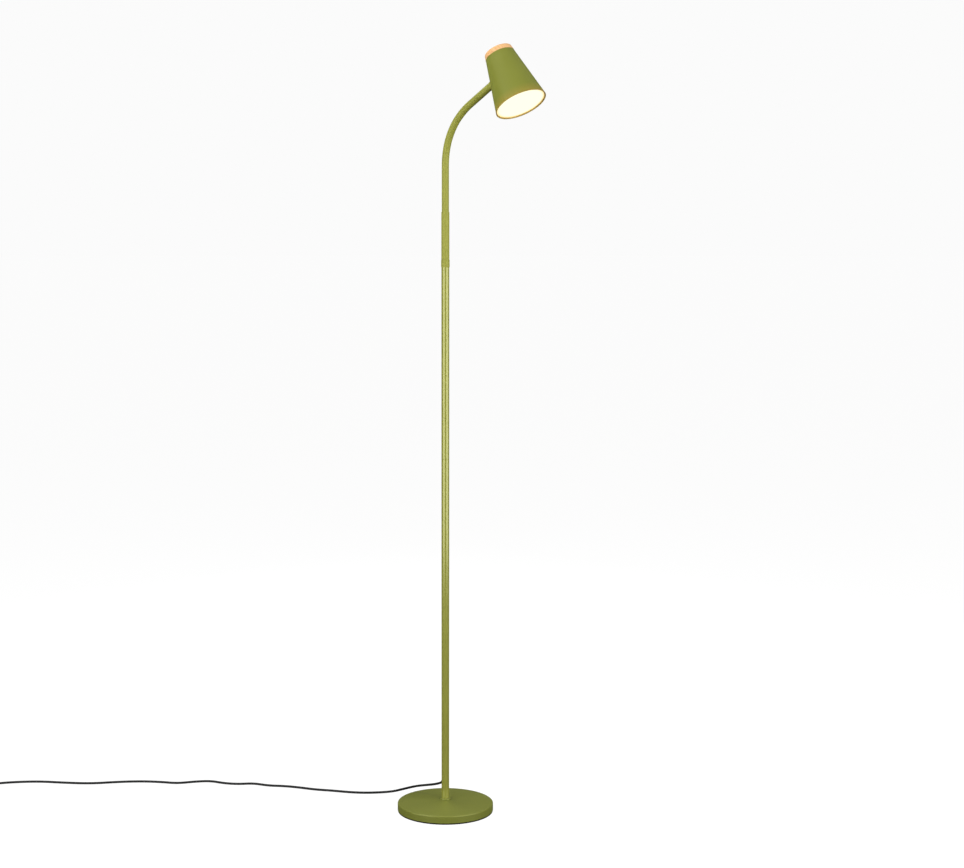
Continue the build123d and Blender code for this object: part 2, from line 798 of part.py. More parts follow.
with BuildPart() as switch_screws:
    with BuildSketch(switch.offset(switch_wall)):
        with Locations(*screw_places):
            Circle(switch_screw_head / 2)
    extrude(amount=switch_screw_head_height)
    with BuildSketch(switch.offset(switch_wall + switch_screw_head_height)):
        with Locations(*screw_places):
            Circle(switch_screw_diameter / 2)
    extrude(amount=switch_screw_length)
finish(switch_screws, "switch_screws")

switch_exit = switch_entry + switch_along * switch_length
switch_across = Vector(-switch_along.Y, switch_along.X, 0)
tail_points = [
    tuple(switch_exit + switch_along * a + switch_across * b + Vector(0, 0, c))
    for a, b, c in tail_points_from_switch
]
tail_length = cord_tube("cord_tail", tail_points)

coil_outer = coil_radius + coil_turn_step
coil_inner = coil_radius - coil_turn_step
coil_entry = switch_exit + switch_along * coil_centre_along
coil_centre = coil_entry + switch_across * (coil_radius + coil_turn_step / 2)
coil = Plane(origin=(coil_centre.X, coil_centre.Y, floor_gap), x_dir=-switch_across, z_dir=(0, 0, 1))
with BuildPart() as cord_coil:
    with BuildSketch(beside(coil)):
        with Locations((coil_radius, coil_height / 2)):
            RectangleRounded(coil_outer - coil_inner, coil_height, coil_corner)
    revolve(axis=axis_of(coil))
finish(cord_coil, "cord_coil")

tie_plane = Plane(coil.location * Rotation(0, 0, tie_angle))
with BuildPart() as cord_tie:
    with BuildSketch(beside(tie_plane)):
        with Locations((coil_radius, coil_height / 2)):
            RectangleRounded(coil_outer - coil_inner + 2 * tie_thickness, coil_height + 2 * tie_thickness,
                             coil_corner + tie_thickness)
            RectangleRounded(coil_outer - coil_inner, coil_height, coil_corner, mode=Mode.SUBTRACT)
    extrude(amount=tie_width / 2, both=True)
    split(bisect_by=Plane.XY.offset(floor_gap / 2), keep=Keep.TOP)
finish(cord_tie, "cord_tie")

plug_start = coil_centre - switch_across * coil_radius + switch_along * plug_relief_reach
plug_plane = Plane(origin=(plug_start.X, plug_start.Y, plug_axis_height), x_dir=switch_across,
                   z_dir=switch_along)
with BuildPart() as plug_relief:
    with BuildSketch(beside(plug_plane)):
        with BuildLine():
            Polyline(
                (0, 0),
                (relief_tip_radius, 0),
                (relief_root_radius, plug_relief_length),
                (0, plug_relief_length),
                close=True,
            )
        make_face()
    revolve(axis=axis_of(plug_plane))
finish(plug_relief, "plug_relief")

plug_face = plug_relief_length + plug_length
with BuildPart() as plug_body:
    with BuildSketch(plug_plane.offset(plug_relief_length)):
        RectangleRounded(plug_neck_width, plug_neck_share * plug_thickness, plug_neck_corner)
    with BuildSketch(plug_plane.offset(plug_relief_length + plug_shoulder_share * plug_length)):
        RectangleRounded(plug_width, plug_thickness, plug_corner)
    with BuildSketch(plug_plane.offset(plug_face)):
        RectangleRounded(plug_width, plug_thickness, plug_corner)
    loft(ruled=True)
    with BuildSketch(plug_plane.offset(plug_face)):
        with GridLocations(pin_spacing, 1, 2, 1):
            Circle(pin_diameter / 2 + slide_gap)
    extrude(amount=-pin_depth, mode=Mode.SUBTRACT)
finish(plug_body, "plug_body")

with BuildPart() as plug_pins:
    with BuildSketch(plug_plane.offset(plug_face - pin_depth)):
        with GridLocations(pin_spacing, 1, 2, 1):
            Circle(pin_diameter / 2)
    extrude(amount=pin_length + pin_depth)
    fillet(plug_pins.edges().filter_by(GeomType.CIRCLE).group_by(Axis(plug_plane.origin, switch_along))[-1],
           radius=pin_diameter / 2 - pin_tip_land)
finish(plug_pins, "plug_pins")

coil_length = 2 * math.pi * coil_turns * coil_radius
print(f"cord: {lead_length + switch_length + tail_length + coil_length + plug_relief_reach:.0f} mm in all")
print("joints:", [tuple(round(v, 3) for v in plane.origin) for plane in joints])
print("joint cross axes:", [tuple(round(v, 4) for v in plane.x_dir) for plane in joints])
print("neck direction:", tuple(round(v, 4) for v in neck_end.z_dir), "head origin", tuple(head.origin))
print("rocker hinge:", tuple(round(v, 3) for v in rocker_axis.origin))
print("rocker axis:", tuple(round(v, 4) for v in rocker_axis.y_dir))
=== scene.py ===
# %% [markdown]
# # A floor lamp with a goose neck
#
# The lamp's hard parts were drawn to size in CAD: a weighted base, a two-piece pole, a chain of neck
# links, and a conical head with a wooden cap. Here they get their finishes. The soft parts, which are the
# neck's skin, the mains cord and its two reliefs, are made as surfaces of their own. Every length is in
# metres, in the CAD model's own frame: the origin is under the middle of the base, Z is up, and the head
# reaches out along +X.

import math

import bpy
import numpy as np
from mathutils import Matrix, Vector


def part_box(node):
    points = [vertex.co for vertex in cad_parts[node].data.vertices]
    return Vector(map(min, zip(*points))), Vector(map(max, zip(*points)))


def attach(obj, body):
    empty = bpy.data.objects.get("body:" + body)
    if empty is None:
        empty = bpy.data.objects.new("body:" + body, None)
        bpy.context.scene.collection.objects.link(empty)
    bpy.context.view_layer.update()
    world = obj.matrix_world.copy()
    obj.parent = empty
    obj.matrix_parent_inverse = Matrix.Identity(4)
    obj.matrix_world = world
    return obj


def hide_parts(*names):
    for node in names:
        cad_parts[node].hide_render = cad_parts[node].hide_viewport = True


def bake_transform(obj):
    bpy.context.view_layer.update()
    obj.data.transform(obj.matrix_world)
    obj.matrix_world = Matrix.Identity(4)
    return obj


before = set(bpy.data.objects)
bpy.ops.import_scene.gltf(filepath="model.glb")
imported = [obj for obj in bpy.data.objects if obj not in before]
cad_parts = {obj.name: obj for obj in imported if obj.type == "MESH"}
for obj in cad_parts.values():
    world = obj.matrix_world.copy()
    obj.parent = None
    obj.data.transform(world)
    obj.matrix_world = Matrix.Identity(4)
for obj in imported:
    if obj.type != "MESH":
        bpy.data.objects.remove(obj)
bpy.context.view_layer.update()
scene = bpy.context.scene

# %% [markdown]
# ## The camera
#
# A lamp this tall is best seen from a little way off with a moderately long lens, so that the pole doesn't
# lean. The camera stands at chest height and looks slightly down at the pole. Tilting a camera makes
# upright lines lean only at the sides of the view, so the pole is kept near the middle and the picture is
# slid sideways with the lens shift.

# %% Place the camera
camera_distance = 3.734
camera_height = 1.167
camera_azimuth = math.radians(44.5)
camera_pitch = math.radians(5.71)

camera = bpy.data.objects.new("camera", bpy.data.cameras.new("camera"))
scene.collection.objects.link(camera)
camera.data.lens = 68.15
camera.data.shift_x = 0.038
camera.location = (
    camera_distance * math.sin(camera_azimuth),
    -camera_distance * math.cos(camera_azimuth),
    camera_height,
)
camera.rotation_euler = (math.pi / 2 - camera_pitch, 0, camera_azimuth)
scene.camera = camera
scene.view_settings.view_transform = "Standard"
print("camera at", [round(v, 3) for v in camera.location])

# %% [markdown]
# ## The mains cord's route
#
# A cord is a fixed length of something springy. It leaves the back of the pole through a relief, drops over
# the base, wanders along the floor, runs through a hand switch, and its spare length is wound into a small
# tied coil with the plug beside it. One open NURBS spline carries all of it. Its control points are the same
# ones that the CAD model's tube is drawn round, so both lie in the same place.

# %% Points from the pole to the switch
cord_radius = 0.0025
on_floor = 0.0026
lead = np.array([
    (-0.01042, 0.00486, 0.0665), (-0.01495, 0.00697, 0.05784), (-0.0219, 0.00845, 0.0523),
    (-0.0406, 0.0072, 0.0456), (-0.062, 0.0046, 0.0402), (-0.090, 0.0013, 0.0328),
    (-0.124, 0, 0.020), (-0.154, -0.003, 0.0085), (-0.182, -0.013, on_floor),
    (-0.203, -0.039, on_floor), (-0.231, -0.060, on_floor), (-0.266, -0.078, on_floor),
    (-0.299, -0.099, on_floor), (-0.335, -0.113, on_floor), (-0.367, -0.129, on_floor),
    (-0.395, -0.152, on_floor), (-0.431, -0.163, on_floor), (-0.451, -0.191, on_floor),
    (-0.479, -0.209, on_floor), (-0.513, -0.218, on_floor), (-0.534, -0.246, on_floor),
    (-0.551, -0.281, on_floor), (-0.585, -0.300, on_floor), (-0.620, -0.327, on_floor),
    (-0.653, -0.366, on_floor), (-0.685, -0.415, on_floor), (-0.731, -0.452, on_floor),
    (-0.778, -0.484, on_floor), (-0.812, -0.523, on_floor), (-0.831, -0.564, 0.004),
    (-0.826, -0.598, 0.0071), (-0.803, -0.627, 0.0071),
])
print("points to the switch:", len(lead))

# %% [markdown]
# Past the switch, points are easiest to give by how far they are along the cord, across it and up. The coil
# is three turns: one on the floor, a second inside it, and a third on top of both. Its radius and height
# change only where one turn makes way for the next. The control points of a round turn stand outside it, by
# one over the cosine of half the angle between them.

# %% Points from the switch round the coil to the plug
switch_length = 0.066
coil_radius, coil_ahead = 0.0302, 0.062
along = (lead[-1] - lead[-2]) / np.linalg.norm(lead[-1] - lead[-2])
across = np.array([-along[1], along[0], 0])
up = np.array([0, 0, 1])
switch_exit = lead[-1] + switch_length * along
coil_centre = switch_exit + coil_ahead * along + coil_radius * across
coil_centre[2] = 0


def from_exit(forward, sideways, rise):
    """The switch's exit, moved along the cord, across it and up."""
    return switch_exit + forward * along + sideways * across + rise * up


tail = np.array([from_exit(0, 0, 0), from_exit(0.020, 0.0012, -0.0032), from_exit(0.046, 0, -0.0044)])
coil_turns, points_a_turn = 3, 18
turned = np.arange(0, 360 * coil_turns + 1, 360 / points_a_turn)
turn_radius = np.interp(
    turned, [0, 290, 350, 600, 650, 760, 800, 980, 1010, 1080],
    [coil_radius, coil_radius, 0.0250, 0.0250, 0.0252, 0.0252, 0.0276, 0.0276, 0.0304, 0.0300],
)
turn_height = np.interp(
    turned, [0, 590, 645, 730, 790, 980, 1010, 1080],
    [0.0027, 0.0027, 0.0080, 0.0080, 0.0072, 0.0072, 0.0080, 0.0080],
)
angle = np.radians(turned)
stand_off = turn_radius / math.cos(math.pi / points_a_turn)
coil = (
    coil_centre
    + (stand_off * np.sin(angle))[:, None] * along
    - (stand_off * np.cos(angle))[:, None] * across
    + turn_height[:, None] * up
)
plug_ahead, plug_aside, plug_axis_height, cord_in_plug = 0.016, 0.0276, 0.0075, 0.006
plug_start = coil_centre + plug_ahead * along - plug_aside * across + plug_axis_height * up
route = np.concatenate([lead, tail, coil, [plug_start, plug_start + cord_in_plug * along]])
print("coil centre:", coil_centre.round(4), "points in all:", len(route))

# %% Follow the route
def route_line(points):
    """Points closely spaced along one open NURBS spline of order 3 through the route's corners."""
    curve = bpy.data.curves.new("route", "CURVE")
    curve.dimensions = "3D"
    curve.resolution_u = 8
    spline = curve.splines.new("NURBS")
    spline.points.add(len(points) - 1)
    spline.points.foreach_set("co", np.c_[points, np.ones(len(points))].ravel())
    spline.order_u = 3
    spline.use_endpoint_u = True
    guide = bpy.data.objects.new("route", curve)
    mesh = bpy.data.meshes.new_from_object(guide)
    line = np.zeros(len(mesh.vertices) * 3)
    mesh.vertices.foreach_get("co", line)
    bpy.data.objects.remove(guide)
    bpy.data.curves.remove(curve)
    bpy.data.meshes.remove(mesh)
    return line.reshape(-1, 3)


cord_line = route_line(route)
steps = np.linalg.norm(np.diff(cord_line, axis=0), axis=1)
print("cord line:", len(cord_line), "points,", round(steps.sum(), 3), "m, closest", steps.min().round(5))

# %% [markdown]
# ## Surfaces from arrays
#
# The new pieces are all tubes of some kind: the cord, the neck's skin and the two reliefs. Each is a grid
# of points. One direction of the grid goes round the axis, and the other follows a profile. A solid tube's
# profile runs from one end to the other and is closed by two flat caps. A hollow tube's profile runs out
# along the outside and back along the bore. Working the whole grid out at once with numpy is fast.

# %% Turn a grid of points into a mesh
sharp_edge = math.radians(38)


def grid_mesh(name, points, hollow):
    """Quads join neighbouring points; columns close on themselves, and so do a hollow tube's rows."""
    rows, columns = points.shape[:2]
    index = np.arange(rows * columns).reshape(rows, columns)
    next_row, next_column = np.roll(index, -1, axis=0), np.roll(index, -1, axis=1)
    diagonal = np.roll(next_row, -1, axis=1)
    quads = np.stack([index, next_column, diagonal, next_row], axis=-1)
    caps = [] if hollow else [index[0, ::-1].tolist(), index[-1].tolist()]
    faces = (quads if hollow else quads[:-1]).reshape(-1, 4).tolist() + caps
    mesh = bpy.data.meshes.new(name)
    mesh.from_pydata(points.reshape(-1, 3), [], faces)
    mesh.shade_smooth()
    mesh.set_sharp_from_angle(angle=sharp_edge)
    piece = bpy.data.objects.new(name, mesh)
    scene.collection.objects.link(piece)
    return piece


def ring_grid(centres, sides, binormals, radii, count):
    """Point (i, j) is centre i, plus radius i times (cos a of the side and sin a of the binormal)."""
    angles = np.linspace(0, 2 * np.pi, count, endpoint=False)
    spoke = np.cos(angles)[:, None] * sides[:, None] + np.sin(angles)[:, None] * binormals[:, None]
    return centres[:, None] + radii[:, None, None] * spoke


def volume_of(mesh):
    """The volume inside a closed mesh: a sixth of each triangle's scalar triple product, added up."""
    mesh.calc_loop_triangles()
    corner = np.zeros(len(mesh.loop_triangles) * 3, np.int32)
    mesh.loop_triangles.foreach_get("vertices", corner)
    place = np.zeros(len(mesh.vertices) * 3)
    mesh.vertices.foreach_get("co", place)
    a, b, c = place.reshape(-1, 3)[corner.reshape(-1, 3)].transpose(1, 0, 2)
    return float((a * np.cross(b, c)).sum() / 6)


print("grid helpers are ready")

# %% Make the cord
tangents = np.gradient(cord_line, axis=0)
tangents = tangents / np.linalg.norm(tangents, axis=1)[:, None]
level = np.cross(tangents, up)
level = level / np.linalg.norm(level, axis=1)[:, None]
cord_radii, cord_sides = np.full(len(cord_line), cord_radius), 16
cord_grid = ring_grid(cord_line, level, np.cross(tangents, level), cord_radii, cord_sides)
mains_cord = grid_mesh("mains_cord", cord_grid, hollow=False)
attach(mains_cord, "stand")
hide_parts("cord_lead", "cord_tail", "cord_coil")
print("cord volume:", round(volume_of(mains_cord.data) * 1e6, 2), "cubic centimetres")

# %% [markdown]
# ## The neck's skin
#
# The goose neck is a steel hose in a smooth coloured sleeve. A real one can bend anywhere, and in the CAD
# model it is a chain of eight hinges. A sleeve made of rigid links would crack open at each hinge, so the
# skin is made in eight lengths that meet in the middle of the links. Each length curves across its own one
# hinge, and where two lengths meet, both follow the same link.

# %% The line that the neck follows
ferrule_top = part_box("neck_ferrule")[1].z
first_joint, link_length, head_stub = 0.022, 0.036, 0.031
link_turns = np.radians([0, 0, 14.5, 16.2, 16.2, 13.1, 0])
socket_depth = 0.040
joint_at = first_joint + link_length * np.arange(len(link_turns) + 1)
neck_length = joint_at[-1] + head_stub
fine_step = 0.00025
travelled = np.arange(-socket_depth, neck_length + fine_step / 2, fine_step)
lean = np.interp(travelled, joint_at, np.concatenate([[0], np.cumsum(link_turns)]))
neck_x = np.concatenate([[0], np.cumsum(np.sin((lean[1:] + lean[:-1]) / 2) * fine_step)])
neck_z = np.concatenate([[0], np.cumsum(np.cos((lean[1:] + lean[:-1]) / 2) * fine_step)])
neck_z = neck_z + ferrule_top - socket_depth


def neck_at(distance):
    """The neck's centre at a distance past the ferrule, and the direction across it in its own plane."""
    tilt = np.interp(distance, travelled, lean)
    centre = np.stack(
        [np.interp(distance, travelled, neck_x), 0 * tilt, np.interp(distance, travelled, neck_z)], axis=-1
    )
    return centre, np.stack([np.cos(tilt), 0 * tilt, -np.sin(tilt)], axis=-1)


print("the neck ends at", neck_at(neck_length)[0].round(4))

# %% Eight lengths of skin
skin_radius, skin_bore, skin_sides = 0.0073, 0.0059, 48
ring_step, bend_reach = 0.0015, 0.016
meets = np.concatenate([[-socket_depth], joint_at[:-1] + link_length / 2, [neck_length]])
skins = []
for number, (joint, low, high) in enumerate(zip(joint_at, meets, meets[1:])):
    steps = np.linspace(low, high, round((high - low) / ring_step) + 1)
    centres, sides = neck_at(np.concatenate([steps, steps[::-1]]))
    radii = np.repeat([skin_radius, skin_bore], len(steps))
    binormals = np.broadcast_to((0.0, 1.0, 0.0), centres.shape)
    grid = ring_grid(centres, sides, binormals, radii, skin_sides)
    piece = grid_mesh(f"neck_skin_{number + 1}", grid, hollow=True)
    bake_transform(piece)
    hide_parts(f"neck_sleeve_{number}")
    skins.append(piece)
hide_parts("neck_sleeve_7", "neck_sleeve_8")
print("skin volumes in cubic centimetres:", [round(volume_of(piece.data) * 1e6, 2) for piece in skins])

# %% [markdown]
# ## The reliefs
#
# Where a cord leaves a hard part, a tapered relief keeps it from being bent sharply. A moulded one is
# ribbed: rings stand out between grooves, and the grooves let it flex. The profile is a straight taper from
# which a row of rounded grooves is taken away. The relief at the pole is coloured like the neck, and the one
# at the plug is black.

# %% Ribbed reliefs at the pole and at the plug
groove_depth, tip_edge, relief_bore = 0.00055, 0.0004, 0.00235
relief_rings, relief_sides = 160, 40


def ribbed_relief(name, tip, direction, side, taper_length, length, tip_radius, root_radius, grooves):
    """A tapered tube: the radius is a straight taper less a rounded groove, repeated along the taper."""
    steps = np.linspace(0, length, relief_rings)
    share = np.clip(steps / taper_length, 0, 1)
    radius = tip_radius + (root_radius - tip_radius) * share
    wave = np.clip(np.sin(2 * np.pi * grooves * share - np.pi / 2), 0, 1)
    radius = radius - groove_depth * wave * (share < 1)
    radius[0] = tip_radius - tip_edge
    steps, radius = np.r_[steps, steps[::-1]], np.r_[radius, np.full(len(radius), relief_bore)]
    centres = tip + steps[:, None] * direction
    sides = np.broadcast_to(side, centres.shape)
    binormals = np.broadcast_to(np.cross(direction, side), centres.shape)
    return grid_mesh(name, ring_grid(centres, sides, binormals, radius, relief_sides), hollow=True)


slope, heading = math.radians(60), math.radians(25)
inward = np.array([math.cos(heading), -math.sin(heading), 0])
pole_relief = ribbed_relief(
    "pole_relief", lead[0], math.cos(slope) * inward + math.sin(slope) * up,
    math.sin(slope) * inward - math.cos(slope) * up,
    taper_length=0.008, length=0.020, tip_radius=0.0032, root_radius=0.0038, grooves=3,
)
plug_relief = ribbed_relief(
    "plug_strain_relief", plug_start, along, across,
    taper_length=0.026, length=0.0262, tip_radius=0.0032, root_radius=0.0044, grooves=7,
)
for piece, node, slot in (
    (pole_relief, "cord_relief", "olive_matte"), (plug_relief, "plug_relief", "moulded_black")
):
    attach(piece, "stand")
    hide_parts(node)
    print(piece.name, round(volume_of(piece.data) * 1e9), "cubic millimetres")

# %% [markdown]
# ## Building materials from shared effects
#
# Paint, wood, rubber and metal are all made of the same few effects: a fine skin of bumps, slow drifts of
# colour, and lines that run one way. Each effect is a node group with named inputs, built once and placed
# in each material with its own values. A group hands out colours, roughness and heights only. The shader and
# everything that is the same all over stay in the material.

# %% Helpers for nodes
def add_node(tree, kind, inputs=None, **settings):
    """A node of one kind with its settings, and values for the inputs that nothing is wired to."""
    node = tree.nodes.new(kind)
    for name, value in settings.items():
        setattr(node, name, value)
    for name, value in (inputs or {}).items():
        node.inputs[name].default_value = value
    return node


def wire(tree, *pairs):
    """Links each pair of sockets, output first."""
    for source, target in pairs:
        tree.links.new(source, target)


def new_effect(name, takes, gives):
    """An empty shader group with named inputs and outputs, and its two end nodes."""
    tree = bpy.data.node_groups.new(name, "ShaderNodeTree")
    for label, kind, value in takes:
        socket = tree.interface.new_socket(label, in_out="INPUT", socket_type=kind)
        if value is not None:
            socket.default_value = value
    for label, kind in gives:
        tree.interface.new_socket(label, in_out="OUTPUT", socket_type=kind)
    return tree, add_node(tree, "NodeGroupInput"), add_node(tree, "NodeGroupOutput")


number_kind, colour_kind, vector_kind = "NodeSocketFloat", "NodeSocketColor", "NodeSocketVector"
print("node helpers are ready")

# %% [markdown]
# ### Coating
#
# Powder paint dries with a faint orange-peel surface about a millimetre across, and its colour and gloss
# drift slowly over a hand's width. Moulded plastic has the same two scales with other sizes, so one effect
# serves both: a fine noise for the height, and a slow noise that mixes two colours and two roughnesses.

# %% The coating effect
coating, takes, gives = new_effect(
    "coating",
    [("Vector", vector_kind, None), ("Colour", colour_kind, (0.2, 0.2, 0.2, 1)),
     ("Drift Colour", colour_kind, (0.2, 0.2, 0.2, 1)), ("Drift Scale", number_kind, 12.0),
     ("Peel Scale", number_kind, 900.0), ("Roughness Low", number_kind, 0.3),
     ("Roughness High", number_kind, 0.4)],
    [("Color", colour_kind), ("Roughness", number_kind), ("Height", number_kind)],
)
slow = add_node(coating, "ShaderNodeTexNoise", {"Detail": 3.0, "Roughness": 0.55})
fine = add_node(coating, "ShaderNodeTexNoise", {"Detail": 2.0, "Roughness": 0.4})
spread = add_node(coating, "ShaderNodeMapRange", {"From Min": 0.3, "From Max": 0.7})
blend = add_node(coating, "ShaderNodeMix", data_type="RGBA")
gloss = add_node(coating, "ShaderNodeMapRange", {"From Min": 0.3, "From Max": 0.7})
wire(
    coating,
    (takes.outputs["Vector"], slow.inputs["Vector"]),
    (takes.outputs["Vector"], fine.inputs["Vector"]),
    (takes.outputs["Drift Scale"], slow.inputs["Scale"]),
    (takes.outputs["Peel Scale"], fine.inputs["Scale"]),
    (slow.outputs[0], spread.inputs["Value"]),
    (slow.outputs[0], gloss.inputs["Value"]),
    (takes.outputs["Roughness Low"], gloss.inputs["To Min"]),
    (takes.outputs["Roughness High"], gloss.inputs["To Max"]),
    (spread.outputs["Result"], blend.inputs["Factor"]),
    (takes.outputs["Colour"], blend.inputs[6]),
    (takes.outputs["Drift Colour"], blend.inputs[7]),
    (blend.outputs[2], gives.inputs["Color"]),
    (gloss.outputs["Result"], gives.inputs["Roughness"]),
    (fine.outputs[0], gives.inputs["Height"]),
)
print("coating:", len(coating.nodes), "nodes")

# %% [markdown]
# ### Lines that run one way
#
# Drawn tube and brushed metal are noise that is stretched along one direction. The effect shrinks the
# coordinates that way, so its streaks are drawn out along it and stay narrow across it.

# %% The streak effect
streaks, takes, gives = new_effect(
    "streaks",
    [("Vector", vector_kind, None), ("Colour", colour_kind, (0.5, 0.5, 0.5, 1)),
     ("Streak Colour", colour_kind, (0.4, 0.4, 0.4, 1)), ("Stretch", vector_kind, (1.0, 1.0, 0.03)),
     ("Scale", number_kind, 900.0), ("Roughness Low", number_kind, 0.25),
     ("Roughness High", number_kind, 0.45)],
    [("Color", colour_kind), ("Roughness", number_kind), ("Height", number_kind)],
)
squeeze = add_node(streaks, "ShaderNodeVectorMath", operation="MULTIPLY")
lines = add_node(streaks, "ShaderNodeTexNoise", {"Detail": 4.0, "Roughness": 0.6})
spread = add_node(streaks, "ShaderNodeMapRange", {"From Min": 0.35, "From Max": 0.65})
blend = add_node(streaks, "ShaderNodeMix", data_type="RGBA")
gloss = add_node(streaks, "ShaderNodeMapRange", {"From Min": 0.35, "From Max": 0.65})
wire(
    streaks,
    (takes.outputs["Vector"], squeeze.inputs[0]),
    (takes.outputs["Stretch"], squeeze.inputs[1]),
    (squeeze.outputs[0], lines.inputs["Vector"]),
    (takes.outputs["Scale"], lines.inputs["Scale"]),
    (lines.outputs[0], spread.inputs["Value"]),
    (lines.outputs[0], gloss.inputs["Value"]),
    (spread.outputs["Result"], blend.inputs["Factor"]),
    (takes.outputs["Colour"], blend.inputs[6]),
    (takes.outputs["Streak Colour"], blend.inputs[7]),
    (takes.outputs["Roughness Low"], gloss.inputs["To Min"]),
    (takes.outputs["Roughness High"], gloss.inputs["To Max"]),
    (blend.outputs[2], gives.inputs["Color"]),
    (gloss.outputs["Result"], gives.inputs["Roughness"]),
    (lines.outputs[0], gives.inputs["Height"]),
)
print("streaks:", len(streaks.nodes), "nodes")

# %% [markdown]
# ### From an effect to a material
#
# A finish is one effect, a bump made of its height, and a Principled shader. The bump's distance is the
# real depth of the surface, a few hundredths of a millimetre for paint.

# %% The finish maker
def finish_of(name, effect, values, bump, shader, turn=None):
    """A material from one effect: its colour, roughness and height feed a Principled shader."""
    material = bpy.data.materials.new(name)
    material.use_nodes = True
    tree = material.node_tree
    principled = tree.nodes["Principled BSDF"]
    place = add_node(tree, "ShaderNodeTexCoord")
    skin = add_node(tree, "ShaderNodeGroup", node_tree=effect)
    for label, value in values.items():
        skin.inputs[label].default_value = value
    relief = add_node(tree, "ShaderNodeBump", {"Distance": bump, "Strength": 1.0})
    start = place.outputs["Object"]
    if turn is not None:
        mapping = add_node(tree, "ShaderNodeMapping", {"Location": turn[0], "Rotation": turn[1]})
        wire(tree, (start, mapping.inputs["Vector"]))
        start = mapping.outputs["Vector"]
    wire(
        tree,
        (start, skin.inputs["Vector"]),
        (skin.outputs["Color"], principled.inputs["Base Color"]),
        (skin.outputs["Roughness"], principled.inputs["Roughness"]),
        (skin.outputs["Height"], relief.inputs["Height"]),
        (relief.outputs["Normal"], principled.inputs["Normal"]),
    )
    for label, value in shader.items():
        principled.inputs[label].default_value = value
    return material


def dress(material, *names):
    """Gives CAD parts, named, or new pieces a finish in place of the one they came with."""
    for name in names:
        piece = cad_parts.get(name) or bpy.data.objects[name]
        piece.data.materials.clear()
        piece.data.materials.append(material)


print("finish maker is ready")

# %% [markdown]
# ## Olive paint
#
# One olive runs over the whole lamp, in four finishes. The base and the collar on it have a fine matte
# powder coat, the pole is glossier and shows two long highlights, the neck, its ring and the pole's relief
# are matte, and the shade is satin. The gloss is tinted yellow in all four, so it doesn't grey the olive.
# The paint is one olive, but the four colours differ in brightness. Each is set to how lit its part looks,
# so the darker base and shade carry painted shade and the lighter neck carries painted light.

# %% Four olive finishes
head_tilt = math.radians(30)
warm_gloss = (1.0, 1.0, 0.55, 1)
# Colours set per part to its lighting: painted shade on the base and shade, painted light on the neck.
olive_base = finish_of(
    "olive_base", coating,
    {"Colour": (0.130, 0.143, 0.022, 1), "Drift Colour": (0.139, 0.153, 0.025, 1), "Drift Scale": 14.0,
     "Peel Scale": 1100.0, "Roughness Low": 0.38, "Roughness High": 0.44},
    0.00003, {"Specular IOR Level": 0.5, "Specular Tint": warm_gloss},
)
olive_gloss = finish_of(
    "olive_gloss", coating,
    {"Colour": (0.200, 0.204, 0.036, 1), "Drift Colour": (0.211, 0.215, 0.039, 1), "Drift Scale": 9.0,
     "Peel Scale": 800.0, "Roughness Low": 0.14, "Roughness High": 0.18},
    0.000015, {"Specular IOR Level": 1.0, "Specular Tint": warm_gloss},
)
olive_matte = finish_of(
    "olive_matte", coating,
    {"Colour": (0.215, 0.220, 0.032, 1), "Drift Colour": (0.227, 0.232, 0.036, 1), "Drift Scale": 16.0,
     "Peel Scale": 1500.0, "Roughness Low": 0.48, "Roughness High": 0.55},
    0.000012, {"Specular IOR Level": 0.45, "Specular Tint": warm_gloss},
)
olive_shade = finish_of(
    "olive_shade", coating,
    {"Colour": (0.155, 0.170, 0.022, 1), "Drift Colour": (0.165, 0.181, 0.025, 1), "Drift Scale": 14.0,
     "Peel Scale": 1000.0, "Roughness Low": 0.36, "Roughness High": 0.42},
    0.00002, {"Specular IOR Level": 0.5, "Specular Tint": warm_gloss},
)
dress(olive_base, "base_cover", "foot_collar")
dress(olive_gloss, "lower_pole", "upper_pole")
dress(olive_matte, "neck_collar", "neck_ferrule", "head_ferrule", "pole_relief",
      *[piece.name for piece in skins])
dress(olive_shade, "shade")
print("painted the base, pole, neck and shade")

# %% [markdown]
# The warm light round the lip of the lit shade is painted into the paint's colour. The height above the rim,
# along the head's own axis, drives a short ramp: full at the lip itself, weaker just above it, and gone
# after a finger's width. The ramp mixes a tan into the paint's colour, as a painted glow.

# %% Paint a warm glow onto the shade's rim
spill_height = 0.020
rim_middle = Vector((0.2060, 0, 1.4512))
tree = olive_shade.node_tree
place = add_node(tree, "ShaderNodeTexCoord")
upright = add_node(
    tree, "ShaderNodeMapping", {"Location": rim_middle, "Rotation": (0, -head_tilt, 0)},
    vector_type="TEXTURE",
)
height = add_node(tree, "ShaderNodeSeparateXYZ")
rise = add_node(tree, "ShaderNodeMapRange", {"From Min": 0.0, "From Max": spill_height})
# The ramp's strength is a painted glow: tan where the lamp's light would fall near the lip.
painted_glow_ramp = add_node(tree, "ShaderNodeValToRGB")
painted_glow_ramp.color_ramp.elements[0].color = (0.9, 0.9, 0.9, 1)
painted_glow_ramp.color_ramp.elements[1].color = (0, 0, 0, 1)
painted_glow_ramp.color_ramp.elements.new(0.05).color = (0.75, 0.75, 0.75, 1)
painted_glow_ramp.color_ramp.elements.new(0.09).color = (0.36, 0.36, 0.36, 1)
warmed = add_node(tree, "ShaderNodeMix", {7: (0.34, 0.21, 0.035, 1)}, data_type="RGBA")
painted = next(node for node in tree.nodes if node.type == "GROUP")
wire(
    tree,
    (place.outputs["Object"], upright.inputs["Vector"]),
    (upright.outputs["Vector"], height.inputs[0]),
    (height.outputs["Z"], rise.inputs["Value"]),
    (rise.outputs["Result"], painted_glow_ramp.inputs["Fac"]),
    (painted_glow_ramp.outputs["Color"], warmed.inputs["Factor"]),
    (painted.outputs["Color"], warmed.inputs[6]),
    (warmed.outputs[2], tree.nodes["Principled BSDF"].inputs["Base Color"]),
)
print("rim warmed over", spill_height, "m")

